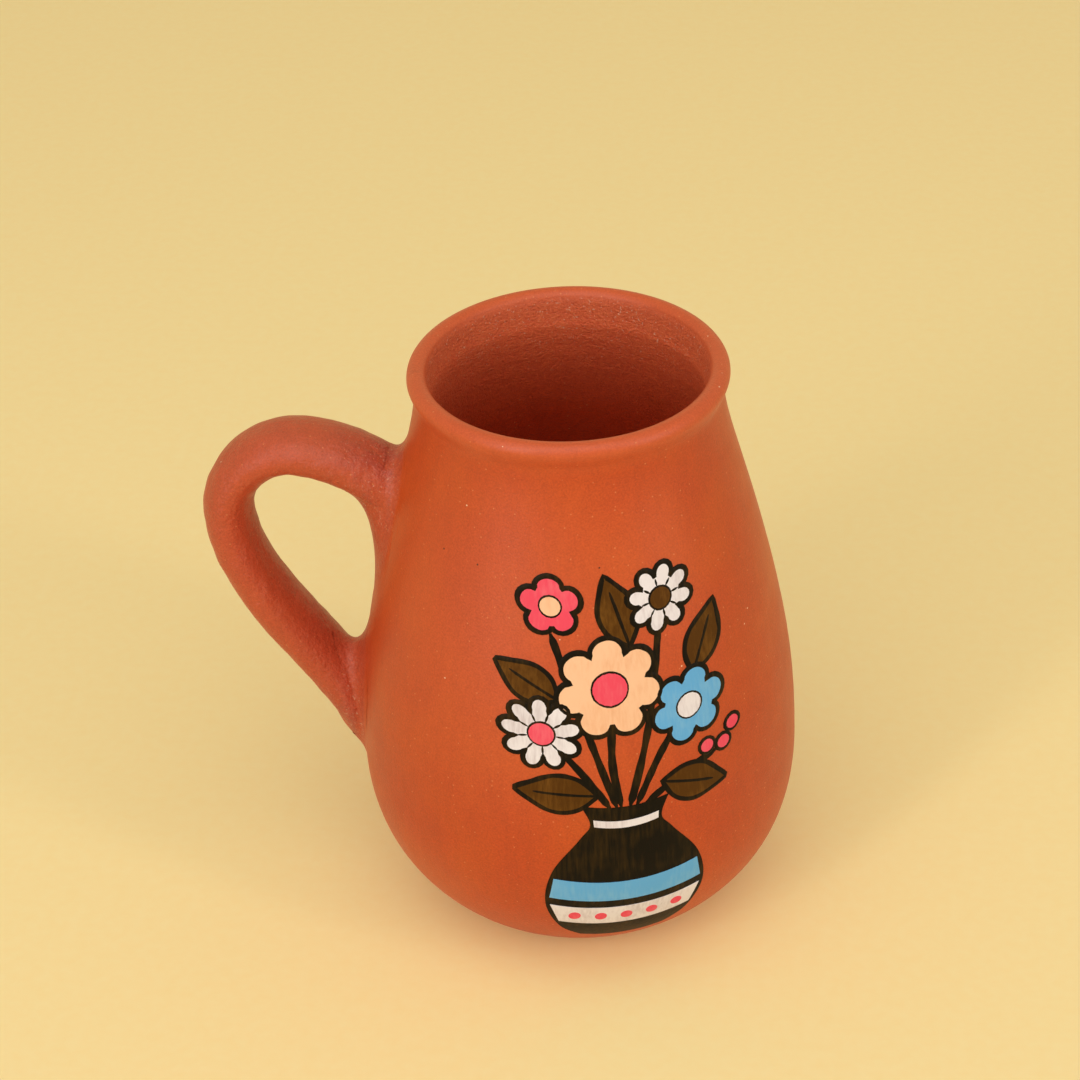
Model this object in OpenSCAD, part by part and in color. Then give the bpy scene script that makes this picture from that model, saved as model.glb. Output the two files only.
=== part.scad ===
// Terracotta drinking mug: a pear-shaped pot thrown in one piece, a pulled handle cut to
// the curve of the wall at both ends, and a fillet of soft clay smoothed round each seat.
// Millimetres. The pot stands on the origin, +Z is up, and the handle points to -X.

/* [Pot] */
// Height from the table to the top of the lip
pot_h = 139; // [130:1:148]
// Diameter of the belly, where the pot is widest
belly_d = 100; // [94:1:108]
// Height of the belly above the table
belly_z = 40; // [36:1:46]
// Diameter of the flat base that the pot stands on
base_d = 54; // [48:1:60]
// Radius of the rounded edge between the base and the wall
base_edge_r = 3; // [1.5:0.5:4]
// Slope of the wall where it leaves the base, in degrees above the table
base_slope = 41; // [36:1:50]
// Thickness of the wall at the belly
belly_wall = 5; // [4:0.5:6.5]
// Thickness of the floor at its middle
floor_t = 6; // [5:0.5:8]

/* [Neck and lip] */
// Diameter of the neck, where the pot is narrowest
neck_d = 67.4; // [62:0.2:70]
// How far the neck lies below the top of the lip
neck_drop = 6.4; // [5:0.2:9]
// Thickness of the wall at the neck
neck_wall = 3.8; // [3.2:0.2:5]
// Outer diameter of the lip
lip_d = 70; // [68:0.2:73]
// Thickness of the rolled lip
lip_t = 4.4; // [3.6:0.2:5.4]
// Height of the round top of the lip
lip_crown = 2.3; // [1.6:0.1:3]

/* [Handle path] */
// Height of the middle of the upper seat
upper_seat_z = 106.5; // [102:0.5:111]
// Angle at which the handle rises out of the upper seat
upper_seat_angle = 43; // [36:1:50]
// Height of the crown, the highest place of the handle's centre line
crown_z = 116.4; // [113:0.1:120]
// How far the crown lies in from the outermost place
crown_in = 15.8; // [12:0.2:19]
// How far the centre line stands out past the belly
reach_out = 27.8; // [24:0.2:33]
// Height of the outermost place of the centre line
reach_z = 99.4; // [94:0.2:103]
// Height of the middle of the lower seat
lower_seat_z = 45.5; // [42:0.5:50]
// Angle between the wall and the handle where it comes down to the lower seat
lower_seat_angle = 27; // [22:1:34]

/* [Handle section] */
// Width of the oval section, across the palm
handle_w = 17.8; // [15:0.2:20]
// Thickness of the oval section through the grip
handle_t = 11.2; // [10:0.2:13]
// Thickness at the upper seat, where a pulled handle is stoutest
root_t = 13.2; // [11:0.2:14.4]
// Thickness at the lower seat
tail_t = 11.8; // [10:0.2:13]
// How far past the middle of the lower seat the tail's rounded end reaches, in the wall
tail_nose = 18; // [14:1:24]

/* [Clay fillets] */
// Reach of the upper fillet along the top of the handle, which meets the neck in a sharp notch
upper_fillet_top = 3; // [2:0.5:8]
// Run of the upper fillet up the wall, above the handle
upper_fillet_rise = 9; // [3:0.5:10]
// Reach of the upper fillet at the handle's two sides
upper_fillet_side = 4; // [2:0.5:6]
// Reach of the upper fillet along the underside of the handle
upper_fillet_under = 16; // [8:0.5:18]
// Run of the upper fillet down the wall, below the handle
upper_fillet_down = 23; // [16:0.5:26]
// Reach of the lower fillet along the handle, in the narrow corner of the finger gap
lower_fillet_under = 12; // [8:0.5:14]
// Run of the lower fillet up the wall, above the handle
lower_fillet_up = 20; // [8:0.5:22]
// Reach of the lower fillet at the handle's two sides
lower_fillet_side = 3.5; // [2:0.5:5]
// Reach of the lower fillet along the tail of the handle
lower_fillet_tail = 6; // [2:0.5:8]
// Run of the lower fillet down the wall, below the tail
lower_fillet_fall = 4; // [2:0.5:8]

/* [Curves] */
// Pull of the base's slope on the lower wall, as a share of the lower wall's height
base_pull_share = 0.22; // [0.15:0.01:0.3]
// Pull of the belly on the lower wall, as a share of the lower wall's height
belly_low_share = 0.64; // [0.5:0.01:0.7]
// Pull of the belly on the upper wall, as a share of the upper wall's height
belly_high_share = 0.47; // [0.35:0.01:0.6]
// Pull of the neck on the upper wall, as a share of the upper wall's height
neck_pull_share = 0.15; // [0.1:0.01:0.3]
// Radius of the level middle of the floor, as a share of the base's radius
floor_flat_share = 0.4; // [0.2:0.05:0.6]
// Pulls of the arch between the upper seat and the crown, as shares of that span
arch_pull_share = 0.31; // [0.25:0.01:0.4]
// Pulls of the turn from the crown to the outermost place, as shares of its two sides
turn_pull_share = 0.51; // [0.45:0.01:0.6]
// Pulls of the long stretch down to the lower seat, as shares of its span
stretch_pull_share = 0.32; // [0.25:0.01:0.4]

/* [Hidden] */

// Steps along each curve, and round the handle
CURVE_STEPS = 22;
LIP_STEPS = 10;
EDGE_STEPS = 5;
RINGS = 44;
SIDES = 32;
CAP_RINGS = 4;
FILLET_STEPS = 8;
HALVINGS = 26;

// Power that bends a fillet's curve: 1 is a straight bevel, and more is a deeper hollow
fillet_bend = 2;
$fn = 128;

// Places on the pot's outline
base_r = base_d / 2;
belly_r = belly_d / 2;
neck_r = neck_d / 2;
lip_r = lip_d / 2;
neck_z = pot_h - neck_drop;
lip_z = pot_h - lip_crown;
foot_z = base_edge_r * (1 - cos(base_slope));
foot_r = base_r + base_edge_r * sin(base_slope);
low_rise = belly_z - foot_z;
high_rise = neck_z - belly_z;
flare_share = 0.25;

// A curve from a to d that leaves along b and arrives along c
function on_curve(a, b, c, d, t) =
    let(s = 1 - t) s * s * s * a + 3 * s * s * t * b + 3 * s * t * t * c + t * t * t * d;
function curve_slope(a, b, c, d, t) =
    let(s = 1 - t) 3 * s * s * (b - a) + 6 * s * t * (c - b) + 3 * t * t * (d - c);
function curve(a, b, c, d, steps) = [for (i = [0 : steps]) on_curve(a, b, c, d, i / steps)];
function unit(v) = v / norm(v);

// Outline of the outer wall, from the edge of the base up to the lip, as [radius, height]
edge_points = [
    for (i = [0 : EDGE_STEPS - 1])
        let(a = base_slope * i / EDGE_STEPS)
            [base_r + base_edge_r * sin(a), base_edge_r * (1 - cos(a))]
];
low_points = curve(
    [foot_r, foot_z],
    [foot_r, foot_z] + base_pull_share * low_rise * [cos(base_slope), sin(base_slope)],
    [belly_r, belly_z - belly_low_share * low_rise],
    [belly_r, belly_z],
    CURVE_STEPS
);
high_points = curve(
    [belly_r, belly_z],
    [belly_r, belly_z + belly_high_share * high_rise],
    [neck_r, neck_z - neck_pull_share * high_rise],
    [neck_r, neck_z],
    CURVE_STEPS
);
flare_points = curve(
    [neck_r, neck_z],
    [neck_r, neck_z + flare_share * (lip_z - neck_z)],
    [lip_r, lip_z - flare_share * (lip_z - neck_z)],
    [lip_r, lip_z],
    EDGE_STEPS
);
wall_points = concat(edge_points, low_points, skip_first(high_points), skip_first(flare_points));
function skip_first(list) = [for (i = [1 : len(list) - 1]) list[i]];

// Radius of the outer wall at a height, and whether a point is out in the open air
wall_table = [for (p = wall_points) [p[1], p[0]]];
function wall_r(z) = lookup(z, wall_table);
function stands_off(p) = norm([p.x, p.y]) - wall_r(p.z);
function onto_wall(p) = let(k = wall_r(p.z) / norm([p.x, p.y])) [k * p.x, k * p.y, p.z];

// Outline of the lip's round top and of the hollow, from the outside over to the axis
lip_mid = lip_r - lip_t / 2;
lip_points = [
    for (i = [1 : LIP_STEPS])
        let(a = 180 * i / LIP_STEPS) [lip_mid + lip_t / 2 * cos(a), lip_z + lip_crown * sin(a)]
];
inner_neck = [neck_r - neck_wall, neck_z];
inner_belly = [belly_r - belly_wall, belly_z];
inner_floor = [floor_flat_share * base_r, floor_t];
inner_flare = curve(
    [lip_r - lip_t, lip_z],
    [lip_r - lip_t, lip_z - flare_share * (lip_z - neck_z)],
    inner_neck + [0, flare_share * (lip_z - neck_z)],
    inner_neck,
    EDGE_STEPS
);
inner_high = curve(
    inner_neck,
    inner_neck - [0, neck_pull_share * high_rise],
    inner_belly + [0, belly_high_share * high_rise],
    inner_belly,
    CURVE_STEPS
);
inner_low = curve(
    inner_belly,
    inner_belly - [0, belly_low_share * (belly_z - floor_t)],
    inner_floor + [belly_low_share * (belly_r - belly_wall - inner_floor[0]), 0],
    inner_floor,
    CURVE_STEPS
);
pot_outline = concat(
    [[0, 0]],
    wall_points,
    lip_points,
    skip_first(inner_flare),
    skip_first(inner_high),
    skip_first(inner_low),
    [[0, floor_t]]
);

// The handle's centre line: arch, turn and long stretch, each a curve of [reach, height],
// and past both ends a straight run into the wall. It is followed by a number from 0 to 3.
upper_seat = [wall_r(upper_seat_z), upper_seat_z];
lower_seat = [wall_r(lower_seat_z), lower_seat_z];
outermost = [belly_r + reach_out, reach_z];
crown = [outermost[0] - crown_in, crown_z];
arch_pull = arch_pull_share * norm(crown - upper_seat);
stretch_pull = stretch_pull_share * norm(outermost - lower_seat);
turn_pull = turn_pull_share * [crown_in, crown_z - reach_z];
arch = [
    upper_seat,
    upper_seat + arch_pull * [cos(upper_seat_angle), sin(upper_seat_angle)],
    crown - [arch_pull, 0],
    crown
];
turn = [crown, crown + [turn_pull[0], 0], outermost + [0, turn_pull[1]], outermost];
stretch = [
    outermost,
    outermost - [0, stretch_pull],
    lower_seat + stretch_pull * [sin(lower_seat_angle), cos(lower_seat_angle)],
    lower_seat
];
spans = [arch, turn, stretch];
END = len(spans);
function span_at(s) = spans[max(0, min(END - 1, floor(s)))];
function path_slope(s) =
    let(c = span_at(s), t = max(0, min(1, s - max(0, min(END - 1, floor(s))))))
        curve_slope(c[0], c[1], c[2], c[3], t);
function path(s) =
    s < 0 ? upper_seat + s * path_slope(0)
    : s > END ? lower_seat + (s - END) * path_slope(END)
    : let(c = span_at(s), t = s - min(END - 1, floor(s))) on_curve(c[0], c[1], c[2], c[3], t);

// A point on the handle's skin: a turn of 0 is the back of the handle, 180 the grip side
half_thick_table = [[0, root_t / 2], [1, handle_t / 2], [2, handle_t / 2], [END, tail_t / 2]];
NOSE_END = END + tail_nose / norm(path_slope(END));
function fullness(s) =
    s <= END ? 1 : sqrt(max(0, 1 - pow((s - END) / (NOSE_END - END), 2)));
function skin(s, turn_angle) =
    let(
        along = unit(path_slope(s)),
        back = [-along[1], along[0]],
        full = fullness(s),
        p = path(s) + full * lookup(s, half_thick_table) * cos(turn_angle) * back
    ) [-p[0], full * handle_w / 2 * sin(turn_angle), p[1]];

// Where a line on the skin runs into the wall, between a place inside the pot and one outside
function meets_wall(inside, outside, turn_angle, n = HALVINGS) =
    let(m = (inside + outside) / 2)
        n == 0 ? m
        : stands_off(skin(m, turn_angle)) < 0 ? meets_wall(m, outside, turn_angle, n - 1)
        : meets_wall(inside, m, turn_angle, n - 1);
turns = [for (j = [0 : SIDES - 1]) 360 * j / SIDES];
upper_meets = [for (a = turns) meets_wall(-1, 1, a)];
lower_meets = [for (a = turns) meets_wall(NOSE_END, END - 1, a)];
upper_ring = [for (j = [0 : SIDES - 1]) onto_wall(skin(upper_meets[j], turns[j]))];
lower_ring = [for (j = [0 : SIDES - 1]) onto_wall(skin(lower_meets[j], turns[j]))];
upper_middle = [-upper_seat[0], 0, upper_seat[1]];
lower_middle = [-lower_seat[0], 0, lower_seat[1]];

// Rings of points across a seat, laid on the wall, from its middle out to its rim
function seat_rings(ring, middle) = [
    for (k = [1 : CAP_RINGS - 1])
        [for (p = ring) onto_wall(middle + k / CAP_RINGS * (p - middle))]
];
function reversed(list) = [for (i = [len(list) - 1 : -1 : 0]) list[i]];

// Triangles that join rings of SIDES points each, either open at both ends or closed in a loop.
// From the ring numbered turned_from on, each square is split along its other diagonal.
function ring_faces(rings, closed, turned_from = undef) = [
    for (i = [0 : rings - (closed ? 1 : 2)], j = [0 : SIDES - 1], half = [0, 1])
        let(
            i2 = (i + 1) % rings,
            j2 = (j + 1) % SIDES,
            a = i * SIDES + j,
            b = i2 * SIDES + j,
            c = i2 * SIDES + j2,
            d = i * SIDES + j2,
            turned = !is_undef(turned_from) && i >= turned_from
        ) half == 0 ? [a, b, turned ? d : c] : [turned ? b : a, c, d]
];
function flat_list(lists) = [for (l = lists, p = l) p];

// A fillet's section at one turn: from the skin along a hollow curve to the wall, then back
// along the wall and the skin to where it began. A point of the hollow curve goes along the
// skin and along the wall at once, so the curve leaves both of them along their own slopes,
// and each of its points has a partner on the wall and one on the skin, right under it. The
// squares below are split as those above them are, which keeps the thin edges from crossing.
function fillet_loop(meet, way, corner, middle, turn_angle, on_handle, on_pot) =
    let(
        skin_step = way * on_handle / norm(path_slope(meet)),
        wall_step = on_pot * unit(corner - middle),
        reaches = [for (i = [0 : FILLET_STEPS]) pow(i / FILLET_STEPS, fillet_bend)],
        on_skin = [for (r = reaches) skin(meet + r * skin_step, turn_angle)],
        on_wall = [for (r = reaches) onto_wall(corner + r * wall_step)],
        hollow = [for (i = [0 : FILLET_STEPS]) on_skin[FILLET_STEPS - i] - corner + on_wall[i]],
        under = [for (i = [FILLET_STEPS - 1 : -1 : 0]) on_wall[i]],
        beside = [for (i = [1 : FILLET_STEPS - 1]) on_skin[i]]
    ) concat(hollow, under, beside);

// A reach that is one size at the back, one at both sides and one in the grip
function reach_at(turn_angle, back, side, grip) =
    let(c = cos(turn_angle)) side + (c > 0 ? back - side : grip - side) * c * c;

module fillet(meets, way, ring, middle, back, back_wall, side, grip, grip_wall) {
    loops = [
        for (j = [0 : SIDES - 1])
            let(
                on_handle = reach_at(turns[j], back, side, grip),
                on_pot = reach_at(turns[j], back_wall, side, grip_wall)
            ) fillet_loop(meets[j], way, ring[j], middle, turns[j], on_handle, on_pot)
    ];
    rows = len(loops[0]);
    points = [for (i = [0 : rows - 1], j = [0 : SIDES - 1]) loops[j][i]];
    faces = ring_faces(rows, true, FILLET_STEPS);
    polyhedron(points, way < 0 ? faces : [for (f = faces) reversed(f)]);
}

module thrown_pot() {
    color([0.77, 0.31, 0.16])
    rotate_extrude()
    polygon(pot_outline);
}

module pulled_handle() {
    length_rings = [
        for (i = [0 : RINGS])
            i == 0 ? upper_ring
            : i == RINGS ? lower_ring
            : [
                for (j = [0 : SIDES - 1])
                    skin(upper_meets[j] + (lower_meets[j] - upper_meets[j]) * i / RINGS, turns[j])
            ]
    ];
    rings = concat(
        seat_rings(upper_ring, upper_middle),
        length_rings,
        reversed(seat_rings(lower_ring, lower_middle))
    );
    points = concat(flat_list(rings), [upper_middle, lower_middle]);
    first = len(points) - 2;
    last_ring = (len(rings) - 1) * SIDES;
    faces = concat(
        ring_faces(len(rings), false),
        [for (j = [0 : SIDES - 1]) [first, j, (j + 1) % SIDES]],
        [for (j = [0 : SIDES - 1]) [first + 1, last_ring + (j + 1) % SIDES, last_ring + j]]
    );
    color([0.74, 0.29, 0.15])
    polyhedron(points, faces);
}

module upper_seat_fillet() {
    color([0.80, 0.36, 0.22])
    fillet(
        upper_meets, 1, upper_ring, upper_middle,
        upper_fillet_top, upper_fillet_rise, upper_fillet_side,
        upper_fillet_under, upper_fillet_down
    );
}

module lower_seat_fillet() {
    color([0.80, 0.36, 0.22])
    fillet(
        lower_meets, -1, lower_ring, lower_middle,
        lower_fillet_tail, lower_fillet_fall, lower_fillet_side,
        lower_fillet_under, lower_fillet_up
    );
}

thrown_pot();
pulled_handle();
upper_seat_fillet();
lower_seat_fillet();
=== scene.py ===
# %% [markdown]
# # A terracotta mug with painted flowers
#
# The real mug is four lumps of clay: a pot thrown on a wheel, a handle pulled from a roll of
# clay, and the slip that fills the corner where each end of the handle meets the wall. After
# the firing a bouquet was painted on its front with a brush. The sizes come from the packed
# model, the frame, and every piece here stands for one of its nodes or lies on one.

# %% Load the frame
import math

import bmesh
import bpy
from mathutils import Matrix, Vector, noise


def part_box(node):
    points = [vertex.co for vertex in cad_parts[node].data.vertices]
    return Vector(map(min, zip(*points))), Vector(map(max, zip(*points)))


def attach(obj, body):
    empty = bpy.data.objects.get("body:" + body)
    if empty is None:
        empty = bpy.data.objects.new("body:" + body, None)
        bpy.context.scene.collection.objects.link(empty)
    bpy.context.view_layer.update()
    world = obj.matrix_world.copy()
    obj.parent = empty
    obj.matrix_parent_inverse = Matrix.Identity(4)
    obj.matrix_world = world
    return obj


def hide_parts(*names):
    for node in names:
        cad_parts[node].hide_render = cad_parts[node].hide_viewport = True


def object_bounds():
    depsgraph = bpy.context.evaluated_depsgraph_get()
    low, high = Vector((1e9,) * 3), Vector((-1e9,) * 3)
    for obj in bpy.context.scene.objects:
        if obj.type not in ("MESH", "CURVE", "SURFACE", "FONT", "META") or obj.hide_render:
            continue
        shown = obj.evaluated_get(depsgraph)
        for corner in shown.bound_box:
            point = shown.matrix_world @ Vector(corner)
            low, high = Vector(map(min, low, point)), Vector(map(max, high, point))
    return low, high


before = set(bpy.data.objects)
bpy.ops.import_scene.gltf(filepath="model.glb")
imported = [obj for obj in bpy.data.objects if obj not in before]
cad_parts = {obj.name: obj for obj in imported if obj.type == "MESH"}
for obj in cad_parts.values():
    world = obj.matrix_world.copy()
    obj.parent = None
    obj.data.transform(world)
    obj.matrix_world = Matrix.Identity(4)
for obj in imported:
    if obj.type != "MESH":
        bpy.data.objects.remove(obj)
cad_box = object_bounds()
MM = 0.001
print("nodes in the frame:", sorted(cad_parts))
print("size in mm:", [round(edge / MM, 1) for edge in cad_box[1] - cad_box[0]])

# %% [markdown]
# ## The camera
#
# The photograph looks down on the mug with a long lens, a little from the right of its front,
# and is tipped by two degrees. A camera is easiest to aim with three directions at right
# angles: where it looks, its right and its up. The look is bent until the middle of the mug
# falls on the pixel where the photograph has it.

# %% Point the camera as the photograph does
PHOTO_SIZE = 1080
MUG_MIDDLE_PIXEL = (576.6, 624.3)
PIXELS_PER_MM = 4.38
VIEW_DISTANCE = 700 * MM
VIEW_HEIGHT_ANGLE = math.radians(35.54)
VIEW_SIDE_ANGLE = math.radians(6)
VIEW_ROLL = math.radians(-1.92)
SENSOR_MM = 36


def aimed_camera(target):
    """Adds a camera that sees the target at its pixel of the photograph."""
    level = math.cos(VIEW_HEIGHT_ANGLE)
    away = Vector((
        math.sin(VIEW_SIDE_ANGLE) * level,
        -math.cos(VIEW_SIDE_ANGLE) * level,
        math.sin(VIEW_HEIGHT_ANGLE),
    ))
    focal_pixels = PIXELS_PER_MM / MM * VIEW_DISTANCE
    level_right = Vector((math.cos(VIEW_SIDE_ANGLE), math.sin(VIEW_SIDE_ANGLE), 0))
    level_up = level_right.cross(-away)
    right = level_right * math.cos(VIEW_ROLL) + level_up * math.sin(VIEW_ROLL)
    up = level_up * math.cos(VIEW_ROLL) - level_right * math.sin(VIEW_ROLL)
    off_right = (MUG_MIDDLE_PIXEL[0] - PHOTO_SIZE / 2) / focal_pixels
    off_down = (MUG_MIDDLE_PIXEL[1] - PHOTO_SIZE / 2) / focal_pixels
    look = (-away - off_right * right + off_down * up).normalized()
    right = (right - look * right.dot(look)).normalized()
    up = right.cross(look)
    turn = Matrix((right, up, -look)).transposed()
    place = target + away * VIEW_DISTANCE
    bpy.ops.object.camera_add(location=place, rotation=turn.to_euler())
    camera = bpy.context.object
    camera.data.sensor_width = SENSOR_MM
    camera.data.lens = focal_pixels / PHOTO_SIZE * SENSOR_MM
    return camera


mug_middle = Vector((0, 0, cad_box[1].z / 2))
bpy.context.scene.camera = aimed_camera(mug_middle)
print("lens in mm:", round(bpy.context.scene.camera.data.lens, 1))

# %% [markdown]
# ## Working in edit mode from a script
#
# An edit operator works on whatever is selected, so each step starts with nothing selected
# and picks its own vertices, edges or faces by where they are. These helpers do the picking,
# and keep the later cells short.

# %% Helpers for selecting
def only(piece):
    """Leaves edit mode, selects one object alone and makes it the active one."""
    if bpy.context.mode != "OBJECT":
        bpy.ops.object.mode_set(mode="OBJECT")
    bpy.ops.object.select_all(action="DESELECT")
    piece.select_set(True)
    bpy.context.view_layer.objects.active = piece
    return piece


def edit(piece, kind="VERT", everything=False):
    """Opens a piece in edit mode with nothing, or everything, selected."""
    only(piece)
    bpy.ops.object.mode_set(mode="EDIT")
    bpy.ops.mesh.select_mode(type=kind)
    bpy.ops.mesh.select_all(action="SELECT" if everything else "DESELECT")


def close():
    bpy.ops.object.mode_set(mode="OBJECT")


def pick(piece, kind, test):
    """Opens a piece in edit mode and selects what passes the test. Returns how many did."""
    edit(piece, kind)
    mesh = bmesh.from_edit_mesh(piece.data)
    parts = {"VERT": mesh.verts, "EDGE": mesh.edges, "FACE": mesh.faces}[kind]
    chosen = [part for part in parts if test(part)]
    for part in chosen:
        part.select_set(True)
    mesh.select_flush_mode()
    bmesh.update_edit_mesh(piece.data)
    return len(chosen)


def apply_modifier(piece, kind, **settings):
    """Adds one modifier with its settings and applies it."""
    only(piece)
    modifier = piece.modifiers.new(kind.title(), kind)
    for name, value in settings.items():
        setattr(modifier, name, value)
    bpy.ops.object.modifier_apply(modifier=modifier.name)


SAME_PLACE = 0.01 * MM


def merged_copy(node, name):
    """A copy of a CAD node whose loose triangles are joined at their corners."""
    piece = bpy.data.objects.new(name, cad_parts[node].data.copy())
    piece.data.materials.clear()
    bpy.context.scene.collection.objects.link(piece)
    edit(piece, everything=True)
    bpy.ops.mesh.customdata_custom_splitnormals_clear()
    bpy.ops.mesh.remove_doubles(threshold=SAME_PLACE)
    close()
    print(name, "copied from", node, "with", len(piece.data.vertices), "corners")
    return piece


# %% [markdown]
# ## The thrown pot
#
# A pot comes off the wheel as a turned shape, so the same section runs all the way round. It
# could be drawn again by hand, but the frame already holds that section: cutting a copy of the
# node through its middle leaves it as a chain of edges. The chain is made a smooth curve that
# passes through the same points, and the Spin operator turns it once round, as the wheel does.

# %% Cut the section out of the frame's pot
ON_AXIS = 0.001 * MM
STRAIGHT_ANGLE = math.radians(0.3)

pot = merged_copy("thrown_pot", "pot")
edit(pot, everything=True)
bpy.ops.mesh.bisect(
    plane_co=(0, 0, 0), plane_no=(0, 1, 0), threshold=SAME_PLACE,
    clear_inner=True, clear_outer=True,
)
bpy.ops.mesh.select_all(action="SELECT")
bpy.ops.mesh.bisect(
    plane_co=(0, 0, 0), plane_no=(1, 0, 0), threshold=ON_AXIS, clear_inner=True
)
bpy.ops.mesh.select_all(action="SELECT")
bpy.ops.mesh.dissolve_limited(angle_limit=STRAIGHT_ANGLE)
close()
print("points on the section:", len(pot.data.vertices))

# %% [markdown]
# The potter's wet finger runs round inside the lip last, and softens its roll. That side of the
# section is smoothed before it is turned, while it is only a few points.

# %% Smooth the inner side of the lip
LIP_SIDE = (131.5 * MM, 137.8 * MM)
LIP_HALF = 3 * MM
LIP_SMOOTHING = 18
LIP_REACH = max(point.co.x for point in pot.data.vertices if point.co.z > LIP_SIDE[1])


def on_inner_lip(point):
    on_side = LIP_SIDE[0] < point.co.z < LIP_SIDE[1]
    return on_side and point.co.x < LIP_REACH - LIP_HALF


count = pick(pot, "VERT", on_inner_lip)
bpy.ops.mesh.vertices_smooth(factor=0.5, repeat=LIP_SMOOTHING)
close()
print("points smoothed inside the lip:", count)

# %% [markdown]
# A chain of straight edges would turn into a pot with rings on it. Its long edges are halved
# until all are short, and it becomes a Bezier curve, whose automatic handles run smoothly
# through every point. Back as a mesh, it is spun once round the axis and its seam is merged.

# %% Turn the section into a smooth curve and spin it
LONGEST_STEP = 4 * MM
POINTS_PER_STEP = 3
SPIN_STEPS = 216

while pick(pot, "EDGE", lambda edge: edge.calc_length() > LONGEST_STEP):
    bpy.ops.mesh.subdivide(number_cuts=1)
close()
bpy.ops.object.convert(target="CURVE")
bpy.ops.object.mode_set(mode="EDIT")
bpy.ops.curve.select_all(action="SELECT")
bpy.ops.curve.spline_type_set(type="BEZIER")
bpy.ops.curve.handle_type_set(type="AUTOMATIC")
close()
pot.data.resolution_u = POINTS_PER_STEP
bpy.ops.object.convert(target="MESH")
for point in pot.data.vertices:
    point.co.z = max(point.co.z, 0)
edit(pot, everything=True)
bpy.ops.mesh.spin(
    steps=SPIN_STEPS, angle=2 * math.pi, center=(0, 0, 0), axis=(0, 0, 1), use_auto_merge=True
)
bpy.ops.mesh.select_all(action="SELECT")
bpy.ops.mesh.remove_doubles(threshold=ON_AXIS)
bpy.ops.mesh.normals_make_consistent(inside=False)
bpy.ops.mesh.faces_shade_smooth()
close()
print("pot faces:", len(pot.data.polygons))

# %% [markdown]
# The inside and the outside of the wall lie at the same heights but are finished in different
# ways. Each vertex of the pot keeps a number, an attribute, that says whether it lines the
# hollow. It comes from the way the surface faces, and fades out below the rubbed rim.

# %% Note where the hollow is
FACES_IN = (0.5, 0.95)
FACES_UP = (0.45, 0.8)
FLOOR_ZONE = (3 * MM, 60 * MM)
BARE_RIM = (0.6 * MM, 2.8 * MM)


def ease(value, low, high):
    """A smooth ramp from 0 at low to 1 at high."""
    share = min(max((value - low) / (high - low), 0), 1)
    return share * share * (3 - 2 * share)


def give_attribute(piece, name, values):
    """Stores one number for each vertex under a name."""
    layer = piece.data.attributes.new(name, "FLOAT", "POINT")
    layer.data.foreach_set("value", values)


def hollow_share(vertex):
    """1 on the lining of the hollow, 0 outside, and a soft change below the lip."""
    inward = -Vector((vertex.co.x, vertex.co.y, 0)).normalized().dot(vertex.normal)
    low = FLOOR_ZONE[0] < vertex.co.z < FLOOR_ZONE[1]
    bottom = ease(vertex.normal.z, *FACES_UP) if low else 0
    under_rim = cad_box[1].z - vertex.co.z
    return max(ease(inward, *FACES_IN), bottom) * ease(under_rim, *BARE_RIM)


hollow = [hollow_share(vertex) for vertex in pot.data.vertices]
give_attribute(pot, "hollow", hollow)
print("vertices in the hollow:", sum(share > 0.5 for share in hollow))

# %% [markdown]
# ## The marks of the hands
#
# A wheel-thrown wall is never a perfect turned shape. Inside, the fingers leave a shallow
# spiral groove as they climb; outside, a smooth stone burnishes the grooves away and leaves
# only slow swells. A texture could fake both, but here the vertices themselves are moved by a
# fraction of a millimetre, so that the light rolls over real relief and the mesh keeps it.

# %% Press finger grooves into the inside and swells into the outside
GROOVE_DEPTH = 0.05 * MM
GROOVE_PITCH = 4.3 * MM
SWELL_DEPTH = 0.16 * MM
SWELL_SIZE = 26 * MM
CALM_RIM = 14 * MM
CALM_FOLD = 5 * MM
CALM_FLOOR = 12 * MM


def press(piece, depth):
    """Moves each vertex along its normal by the depth at its place."""
    moves = [vertex.normal * depth(vertex) for vertex in piece.data.vertices]
    for vertex, move in zip(piece.data.vertices, moves):
        vertex.co += move
    piece.data.update()


def swell(place, size, seed):
    """A slow rise and fall of about one size across, from -1 to 1."""
    return noise.noise(place / size + Vector((seed, 0, 0)))


def hand_marks(vertex):
    place = vertex.co
    under_rim = cad_box[1].z - place.z
    soft = SWELL_DEPTH * swell(place, SWELL_SIZE, seed=3)
    soft *= ease(under_rim, 0, CALM_FOLD) * ease(place.z, 0, CALM_FOLD)
    lining = hollow[vertex.index]
    if not lining:
        return soft
    turn = math.atan2(place.y, place.x) / (2 * math.pi)
    firm = 0.5 + swell(place, SWELL_SIZE, seed=9)
    groove = firm * math.sin(2 * math.pi * (place.z / GROOVE_PITCH - turn))
    groove *= ease(under_rim, 0, CALM_RIM) * ease(place.z, CALM_FLOOR, 2 * CALM_FLOOR)
    return soft + GROOVE_DEPTH * lining * groove


press(pot, hand_marks)
pot_high = max(vertex.co.z for vertex in pot.data.vertices)
print("pot height in mm:", round(pot_high / MM, 2))

# %% [markdown]
# ## The pulled handle
#
# A handle is pulled from a wet roll of clay with one hand, bent into its loop and pressed on
# to the wall. Its long swept shape is right in the frame already, but as flat facets. A copy
# is turned back into four-sided faces, which a Subdivision Surface rounds without moving them
# away. Each end is first carried on a little way into the wall, because a real handle is
# scored and pushed in, and a skin that stopped at the surface would show a gap there.

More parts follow.
